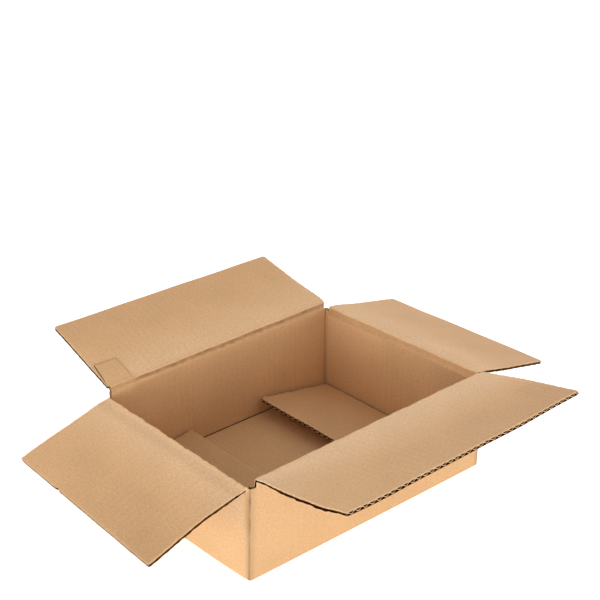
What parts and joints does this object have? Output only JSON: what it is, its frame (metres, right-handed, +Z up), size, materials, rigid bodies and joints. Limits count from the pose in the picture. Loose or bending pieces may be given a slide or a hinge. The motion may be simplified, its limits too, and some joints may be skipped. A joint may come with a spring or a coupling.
{
  "type": "folding box",
  "caption": "Low open shipping box of corrugated board: folded walls, top flaps spread outwards, short bottom flaps sprung up, bottom seam taped.",
  "frame": {"origin": "on the surface the box stands on, under the middle of its four walls", "axes": "+Z up; +X along the long walls, towards the right end wall; +Y from the front wall to the back wall"},
  "size_m": [0.5304, 0.456, 0.1392],
  "materials": {
    "kraft_board": "matt brown kraft paper faces over a fluted core",
    "packing_tape": "smooth brown film with a low gloss"
  },
  "bodies": {
    "carton": {"box_body": "kraft_board", "bottom_tape": "packing_tape"},
    "front_flap": {"front_flap": "kraft_board"},
    "back_flap": {"back_flap": "kraft_board"},
    "left_flap": {"left_flap": "kraft_board"},
    "right_flap": {"right_flap": "kraft_board"},
    "bottom_left_flap": {"bottom_left_flap": "kraft_board"},
    "bottom_right_flap": {"bottom_right_flap": "kraft_board"}
  },
  "joints": [
    {"name": "front_flap_fold", "type": "hinge", "parent": "carton", "child": "front_flap", "pos_m": [0, -0.1185, 0.1101], "axis": [-1, 0, 0], "range_deg": [-89, 169]},
    {"name": "back_flap_fold", "type": "hinge", "parent": "carton", "child": "back_flap", "pos_m": [0, 0.1185, 0.1101], "axis": [1, 0, 0], "range_deg": [-91, 167]},
    {"name": "left_flap_fold", "type": "hinge", "parent": "carton", "child": "left_flap", "pos_m": [-0.1565, 0, 0.1051], "axis": [0, 1, 0], "range_deg": [-50, 199]},
    {"name": "right_flap_fold", "type": "hinge", "parent": "carton", "child": "right_flap", "pos_m": [0.1565, 0, 0.1051], "axis": [0, -1, 0], "range_deg": [-56.5, 192.5]},
    {"name": "bottom_left_flap_fold", "type": "hinge", "parent": "carton", "child": "bottom_left_flap", "pos_m": [-0.1525, 0, 0.0081], "axis": [0, 1, 0], "range_deg": [-78, 7]},
    {"name": "bottom_right_flap_fold", "type": "hinge", "parent": "carton", "child": "bottom_right_flap", "pos_m": [0.1525, 0, 0.0081], "axis": [0, -1, 0], "range_deg": [-75, 10]}
  ]
}
